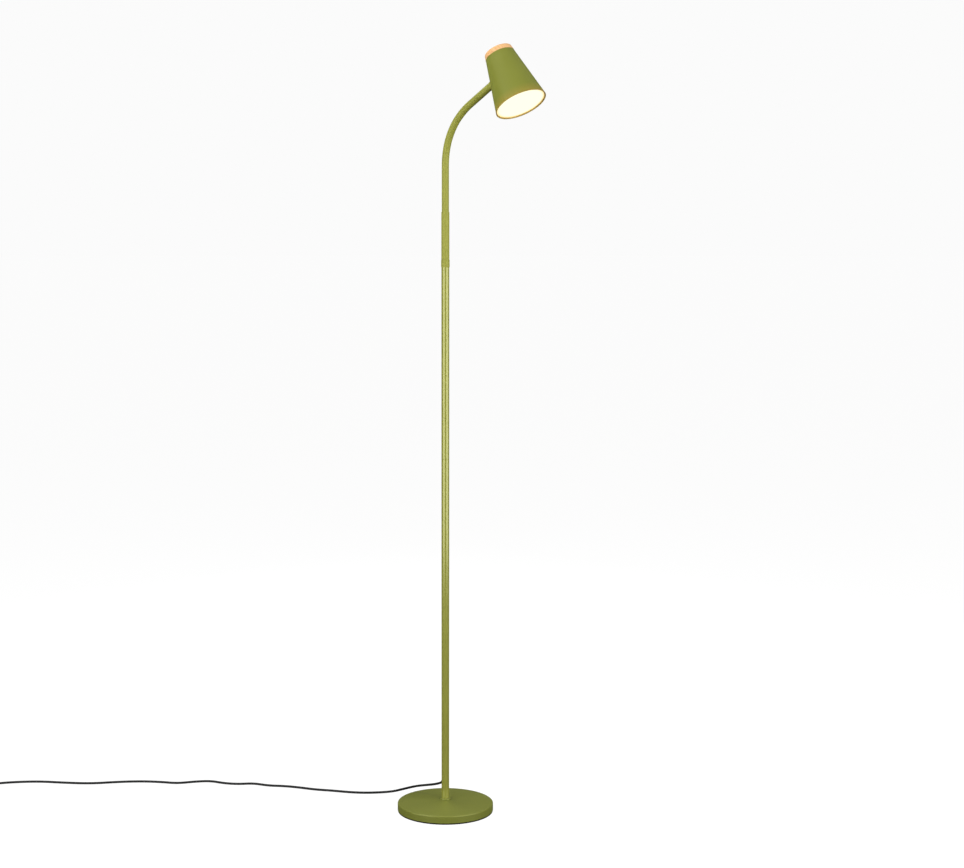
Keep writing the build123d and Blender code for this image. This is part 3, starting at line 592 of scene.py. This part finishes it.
# %% [markdown]
# ## Beech
#
# The cap on the shade is a turned disc of beech under clear satin lacquer. Beech is pale and pinkish, with
# growth rings that cross the top face as soft bands and short darker flecks along the fibres. The bands are
# a wave texture bent by noise, and the flecks are stretched noise. Both are turned to the head's own tilt.

# %% The wood grain effect
grain, takes, gives = new_effect(
    "wood_grain",
    [("Vector", vector_kind, None), ("Early Wood", colour_kind, (0.8, 0.5, 0.25, 1)),
     ("Late Wood", colour_kind, (0.6, 0.35, 0.15, 1)), ("Fleck", colour_kind, (0.4, 0.2, 0.08, 1)),
     ("Ring Scale", number_kind, 60.0)],
    [("Color", colour_kind), ("Roughness", number_kind), ("Height", number_kind)],
)
rings = add_node(
    grain, "ShaderNodeTexWave", {"Distortion": 2.2, "Detail": 2.0, "Detail Scale": 1.2},
    wave_type="BANDS", bands_direction="Y", wave_profile="SIN",
)
fibre_squeeze = add_node(grain, "ShaderNodeVectorMath", {1: (0.12, 1.0, 1.0)}, operation="MULTIPLY")
fibres = add_node(grain, "ShaderNodeTexNoise", {"Scale": 1800.0, "Detail": 3.0, "Roughness": 0.6})
fleck_mask = add_node(grain, "ShaderNodeMapRange", {"From Min": 0.60, "From Max": 0.72})
ring_mask = add_node(grain, "ShaderNodeMapRange", {"From Min": 0.35, "From Max": 0.95, "To Max": 0.75})
wood_mix = add_node(grain, "ShaderNodeMix", data_type="RGBA")
fleck_mix = add_node(grain, "ShaderNodeMix", data_type="RGBA")
fleck_share = add_node(grain, "ShaderNodeMath", {1: 0.45}, operation="MULTIPLY")
gloss = add_node(grain, "ShaderNodeMapRange", {"To Min": 0.34, "To Max": 0.46})
wire(
    grain,
    (takes.outputs["Vector"], rings.inputs["Vector"]),
    (takes.outputs["Vector"], fibre_squeeze.inputs[0]),
    (takes.outputs["Ring Scale"], rings.inputs["Scale"]),
    (fibre_squeeze.outputs[0], fibres.inputs["Vector"]),
    (rings.outputs["Fac"], ring_mask.inputs["Value"]),
    (ring_mask.outputs["Result"], wood_mix.inputs["Factor"]),
    (takes.outputs["Early Wood"], wood_mix.inputs[6]),
    (takes.outputs["Late Wood"], wood_mix.inputs[7]),
    (fibres.outputs[0], fleck_mask.inputs["Value"]),
    (fleck_mask.outputs["Result"], fleck_share.inputs[0]),
    (fleck_share.outputs[0], fleck_mix.inputs["Factor"]),
    (wood_mix.outputs[2], fleck_mix.inputs[6]),
    (takes.outputs["Fleck"], fleck_mix.inputs[7]),
    (fibres.outputs[0], gloss.inputs["Value"]),
    (fleck_mix.outputs[2], gives.inputs["Color"]),
    (gloss.outputs["Result"], gives.inputs["Roughness"]),
    (fibres.outputs[0], gives.inputs["Height"]),
)
print("wood grain:", len(grain.nodes), "nodes")

# %% Beech for the cap
beech = finish_of(
    "beech", grain,
    {"Early Wood": (0.72, 0.420, 0.185, 1), "Late Wood": (0.63, 0.335, 0.130, 1),
     "Fleck": (0.45, 0.21, 0.08, 1), "Ring Scale": 70.0},
    0.00002, {"Specular IOR Level": 0.5, "Coat Weight": 0.25, "Coat Roughness": 0.25},
    turn=((0, 0, 0), (0, head_tilt, 0)),
)
dress(beech, "wood_cap")

# %% [markdown]
# ## Rubber and moulded plastic
#
# The pad under the base is matte foam rubber. The cord has a smooth PVC sheath with a soft shine. The
# switch, the plug with its relief, and the tie are moulded with a fine spark-eroded texture that scatters
# light.

# %% Black finishes
black_pad = finish_of(
    "black_pad", coating,
    {"Colour": (0.006, 0.006, 0.006, 1), "Drift Colour": (0.009, 0.009, 0.009, 1), "Drift Scale": 60.0,
     "Peel Scale": 2500.0, "Roughness Low": 0.8, "Roughness High": 0.95},
    0.00005, {"Specular IOR Level": 0.1},
)
cord_black = finish_of(
    "cord_black", coating,
    {"Colour": (0.010, 0.010, 0.010, 1), "Drift Colour": (0.014, 0.014, 0.014, 1), "Drift Scale": 40.0,
     "Peel Scale": 1800.0, "Roughness Low": 0.45, "Roughness High": 0.55},
    0.00002, {"Specular IOR Level": 0.15},
)
moulded_black = finish_of(
    "moulded_black", coating,
    {"Colour": (0.014, 0.014, 0.014, 1), "Drift Colour": (0.018, 0.018, 0.018, 1), "Drift Scale": 50.0,
     "Peel Scale": 3500.0, "Roughness Low": 0.45, "Roughness High": 0.55},
    0.00004, {"Specular IOR Level": 0.5},
)
rocker_black = finish_of(
    "rocker_black", coating,
    {"Colour": (0.012, 0.012, 0.012, 1), "Drift Colour": (0.015, 0.015, 0.015, 1), "Drift Scale": 80.0,
     "Peel Scale": 1500.0, "Roughness Low": 0.22, "Roughness High": 0.3},
    0.00001, {"Specular IOR Level": 0.5},
)
dress(black_pad, "base_pad")
dress(cord_black, "mains_cord", "pole_lead")
dress(moulded_black, "plug_strain_relief", "switch_base", "switch_cover", "cord_tie", "plug_body")
dress(rocker_black, "switch_rocker")
print("black parts dressed")

# %% [markdown]
# ## Metal inside and out
#
# The plug's pins are nickel-plated brass, the bolts and tubes are zinc-plated steel, and the heat sink is
# bare aluminium. Metal takes its colour from its reflections, so most of the work is in the roughness:
# lines left by drawing or turning it run one way.

# %% Metal finishes
metal_shader = {"Metallic": 1.0}
pin_metal = finish_of(
    "pin_brass", streaks,
    {"Colour": (0.66, 0.64, 0.60, 1), "Streak Colour": (0.58, 0.55, 0.50, 1), "Stretch": (0.1, 0.1, 1.0),
     "Scale": 2500.0, "Roughness Low": 0.18, "Roughness High": 0.3},
    0.000005, metal_shader,
)
plain_steel = finish_of(
    "plain_steel", streaks,
    {"Colour": (0.56, 0.56, 0.57, 1), "Streak Colour": (0.44, 0.44, 0.45, 1), "Stretch": (1.0, 1.0, 0.05),
     "Scale": 1200.0, "Roughness Low": 0.28, "Roughness High": 0.45},
    0.00001, metal_shader,
)
hose_steel = finish_of(
    "hose_steel", streaks,
    {"Colour": (0.42, 0.42, 0.43, 1), "Streak Colour": (0.25, 0.25, 0.26, 1), "Stretch": (0.05, 0.05, 1.0),
     "Scale": 900.0, "Roughness Low": 0.35, "Roughness High": 0.5},
    0.0001, metal_shader,
)
rough_casting = finish_of(
    "cast_weight", coating,
    {"Colour": (0.10, 0.10, 0.10, 1), "Drift Colour": (0.16, 0.155, 0.15, 1), "Drift Scale": 90.0,
     "Peel Scale": 700.0, "Roughness Low": 0.6, "Roughness High": 0.8},
    0.0003, metal_shader,
)
zinc_casting = finish_of(
    "cast_zinc", coating,
    {"Colour": (0.58, 0.58, 0.60, 1), "Drift Colour": (0.50, 0.50, 0.52, 1), "Drift Scale": 120.0,
     "Peel Scale": 1500.0, "Roughness Low": 0.45, "Roughness High": 0.6},
    0.00005, metal_shader,
)
bare_aluminium = finish_of(
    "bare_aluminium", streaks,
    {"Colour": (0.78, 0.78, 0.80, 1), "Streak Colour": (0.68, 0.68, 0.70, 1), "Stretch": (1.0, 0.04, 1.0),
     "Scale": 1500.0, "Roughness Low": 0.3, "Roughness High": 0.45},
    0.00001, metal_shader,
)
dress(pin_metal, "plug_pins")
dress(plain_steel, "base_bolt", "base_washer", "foot_insert", "pole_coupler", "neck_nipple", "neck_nut",
      "cap_screw", "module_screws", "switch_screws", "spacers")
dress(hose_steel, *[f"neck_hose_{number}" for number in range(9)])
dress(rough_casting, "base_weight")
dress(zinc_casting, "neck_saddle")
dress(bare_aluminium, "heat_sink")
print("metal parts dressed")

# %% [markdown]
# ## The light source
#
# Under the cap, LEDs on a white board shine through a white funnel onto an opal disc. The disc is what
# shows. It is evenly lit and slightly warm, and it turns golden in a narrow band at its edge, where less
# light reaches it and more of it has been through the plastic. The band is a colour ramp over the distance
# from the disc's axis, and the strength of the glow is set on the shader.

# %% Opal disc
opal = finish_of(
    "opal", coating,
    {"Colour": (0.28, 0.28, 0.16, 1), "Drift Colour": (0.26, 0.26, 0.15, 1), "Drift Scale": 30.0,
     "Peel Scale": 1500.0, "Roughness Low": 0.4, "Roughness High": 0.5},
    0.00001, {"Emission Strength": 0.93, "Specular IOR Level": 0.3},
)
tree = opal.node_tree
disc_low, disc_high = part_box("diffuser")
disc_middle = (disc_low + disc_high) / 2
disc_radius = (disc_high.y - disc_low.y) / 2
place = add_node(tree, "ShaderNodeTexCoord")
centred = add_node(
    tree, "ShaderNodeMapping", {"Location": disc_middle, "Rotation": (0, -head_tilt, 0)},
    vector_type="TEXTURE",
)
flatten = add_node(tree, "ShaderNodeVectorMath", {1: (1.0, 1.0, 0.0)}, operation="MULTIPLY")
distance = add_node(tree, "ShaderNodeVectorMath", operation="LENGTH")
share = add_node(tree, "ShaderNodeMath", {1: disc_radius}, operation="DIVIDE")
glow = add_node(tree, "ShaderNodeValToRGB")
glow.color_ramp.elements[0].position = 0.90
glow.color_ramp.elements[0].color = (1.0, 1.0, 0.80, 1)
glow.color_ramp.elements[1].position = 1.0
glow.color_ramp.elements[1].color = (0.95, 0.70, 0.30, 1)
wire(
    tree,
    (place.outputs["Object"], centred.inputs["Vector"]),
    (centred.outputs["Vector"], flatten.inputs[0]),
    (flatten.outputs[0], distance.inputs[0]),
    (distance.outputs["Value"], share.inputs[0]),
    (share.outputs[0], glow.inputs["Fac"]),
    (glow.outputs["Color"], tree.nodes["Principled BSDF"].inputs["Emission Color"]),
)
dress(opal, "diffuser")
print("opal disc radius:", round(disc_radius, 4))

# %% Parts round the light source
# The retaining ring's tan is a painted glow: it stands for the lamp's warm light on the rim.
ring_painted_glow = finish_of(
    "ring_painted_glow", coating,
    {"Colour": (0.55, 0.36, 0.12, 1), "Drift Colour": (0.60, 0.40, 0.14, 1), "Drift Scale": 40.0,
     "Peel Scale": 1500.0, "Roughness Low": 0.4, "Roughness High": 0.5},
    0.00001, {"Specular IOR Level": 0.5},
)
reflector_white = finish_of(
    "reflector_white", coating,
    {"Colour": (0.88, 0.88, 0.86, 1), "Drift Colour": (0.85, 0.85, 0.82, 1), "Drift Scale": 30.0,
     "Peel Scale": 1500.0, "Roughness Low": 0.25, "Roughness High": 0.35},
    0.00001, {"Specular IOR Level": 0.5},
)
board_white = finish_of(
    "board_white", coating,
    {"Colour": (0.85, 0.85, 0.83, 1), "Drift Colour": (0.80, 0.80, 0.77, 1), "Drift Scale": 80.0,
     "Peel Scale": 2500.0, "Roughness Low": 0.4, "Roughness High": 0.5},
    0.00001, {"Specular IOR Level": 0.5},
)
board_green = finish_of(
    "board_green", coating,
    {"Colour": (0.020, 0.130, 0.055, 1), "Drift Colour": (0.030, 0.160, 0.070, 1), "Drift Scale": 300.0,
     "Peel Scale": 2500.0, "Roughness Low": 0.3, "Roughness High": 0.45},
    0.00002, {"Specular IOR Level": 0.5},
)
component_black = finish_of(
    "component_black", coating,
    {"Colour": (0.025, 0.025, 0.028, 1), "Drift Colour": (0.040, 0.040, 0.042, 1), "Drift Scale": 150.0,
     "Peel Scale": 2500.0, "Roughness Low": 0.35, "Roughness High": 0.5},
    0.00002, {"Specular IOR Level": 0.5},
)
led_yellow = finish_of(
    "led_yellow", coating,
    {"Colour": (0.90, 0.68, 0.12, 1), "Drift Colour": (0.93, 0.74, 0.18, 1), "Drift Scale": 400.0,
     "Peel Scale": 3000.0, "Roughness Low": 0.3, "Roughness High": 0.4},
    0.00001, {"Emission Strength": 0.6, "Emission Color": (1.0, 0.9, 0.6, 1)},
)
dress(ring_painted_glow, "retaining_ring")
dress(reflector_white, "reflector")
dress(board_white, "led_board")
dress(board_green, "driver_board")
dress(component_black, "driver_parts")
dress(led_yellow, "leds")
print("head parts dressed")

# %% [markdown]
# ## The studio
#
# Two large soft boxes stand in front of the lamp, to the left and right of the camera, with a gap between
# them where the camera is. A glossy round pole mirrors them as two long highlights with a darker line
# between. A smaller one hangs over the head and lights the wooden cap. Two weaker fills behind the lamp
# light its back, and reflections leave them out. The sky is brightest overhead and dim near the horizon, so
# that the pole's edges stay dark.
#
# The camera sees a floor that glows almost white by itself, so it shows hardly any shadow and nearly
# matches the backdrop. Every other ray meets a dark floor, which throws little light up on the lamp.

# %% Floor
floor_half, floor_glow = 400.0, 0.93
camera.data.clip_end = 5 * floor_half
floor_mesh = bpy.data.meshes.new("floor")
floor_corners = floor_half * np.array([(-1, -1, 0), (1, -1, 0), (1, 1, 0), (-1, 1, 0)], float)
floor_mesh.from_pydata(floor_corners, [], [(0, 1, 2, 3)])
floor = bpy.data.objects.new("floor", floor_mesh)
scene.collection.objects.link(floor)
floor_finish = bpy.data.materials.new("floor_pale")
floor_finish.use_nodes = True
tree = floor_finish.node_tree
tree.nodes.clear()
seen = add_node(tree, "ShaderNodeLightPath")
shown = add_node(tree, "ShaderNodeBsdfDiffuse", {"Color": (0.12, 0.12, 0.12, 1)})
bounced = add_node(tree, "ShaderNodeBsdfDiffuse", {"Color": (0.07, 0.07, 0.065, 1)})
glow = add_node(tree, "ShaderNodeEmission", {"Color": (1, 1, 1, 1), "Strength": floor_glow})
lit = add_node(tree, "ShaderNodeAddShader")
either = add_node(tree, "ShaderNodeMixShader")
output = add_node(tree, "ShaderNodeOutputMaterial")
wire(
    tree,
    (shown.outputs[0], lit.inputs[0]),
    (glow.outputs[0], lit.inputs[1]),
    (seen.outputs["Is Camera Ray"], either.inputs[0]),
    (bounced.outputs[0], either.inputs[1]),
    (lit.outputs[0], either.inputs[2]),
    (either.outputs[0], output.inputs["Surface"]),
)
floor_mesh.materials.append(floor_finish)
print("floor is", 2 * floor_half, "m wide")

# %% Sky
horizon_glow, zenith_glow, backdrop_glow = 0.06, 0.56, 0.965
sky = bpy.data.worlds.new("studio")
sky.use_nodes = True
scene.world = sky
tree = sky.node_tree
tree.nodes.clear()
direction = add_node(tree, "ShaderNodeTexCoord")
parts = add_node(tree, "ShaderNodeSeparateXYZ")
upward = add_node(tree, "ShaderNodeMath", {1: 0.0}, operation="MAXIMUM")
steepened = add_node(tree, "ShaderNodeMath", {1: 2.0}, operation="POWER")
height = add_node(tree, "ShaderNodeMapRange", {"To Min": horizon_glow, "To Max": zenith_glow})
lighting = add_node(tree, "ShaderNodeBackground", {"Color": (1.0, 0.995, 0.98, 1)})
backdrop = add_node(tree, "ShaderNodeBackground", {"Color": (1, 1, 1, 1), "Strength": backdrop_glow})
seen = add_node(tree, "ShaderNodeLightPath")
either = add_node(tree, "ShaderNodeMixShader")
output = add_node(tree, "ShaderNodeOutputWorld")
wire(
    tree,
    (direction.outputs["Generated"], parts.inputs[0]),
    (parts.outputs["Z"], upward.inputs[0]),
    (upward.outputs[0], steepened.inputs[0]),
    (steepened.outputs[0], height.inputs["Value"]),
    (height.outputs["Result"], lighting.inputs["Strength"]),
    (seen.outputs["Is Camera Ray"], either.inputs[0]),
    (lighting.outputs[0], either.inputs[1]),
    (backdrop.outputs[0], either.inputs[2]),
    (either.outputs[0], output.inputs["Surface"]),
)
print("sky ready")

# %% Soft boxes
def soft_box(name, place, aim, size, radiance):
    """A rectangular light at one place, facing another, whose surface is as bright as radiance says."""
    light = bpy.data.lights.new(name, "AREA")
    light.shape, light.size, light.size_y = "RECTANGLE", size[0], size[1]
    light.energy = radiance * math.pi * size[0] * size[1]
    box = bpy.data.objects.new(name, light)
    box.location = place
    box.rotation_euler = (Vector(place) - Vector(aim)).to_track_quat("Z", "Y").to_euler()
    box.visible_camera = False
    scene.collection.objects.link(box)
    return box


def round_pole(turn_from_camera, distance, height):
    """A place at an angle round the pole, counted from the camera's side."""
    bearing = camera_azimuth + math.radians(turn_from_camera)
    return (distance * math.sin(bearing), -distance * math.cos(bearing), height)


box_distance, box_height = 2.6, 1.40
pole_middle = (0, 0, box_height)
main_size, fill_size = (2.9, 2.7), (2.0, 2.2)
for name, turn in (("box_left", -45), ("box_right", 53)):
    soft_box(name, round_pole(turn, box_distance, box_height), pole_middle, main_size, radiance=4.1)
soft_box("box_over", (-0.8, -0.2, 2.9), (0.1, 0, 1.5), (1.2, 1.2), radiance=4.2)
for name, turn in (("fill_left", -135), ("fill_right", 135)):
    fill = soft_box(name, round_pole(turn, box_distance, box_height), pole_middle, fill_size, radiance=2.2)
    fill.visible_glossy = False
print("three soft boxes and two fills")
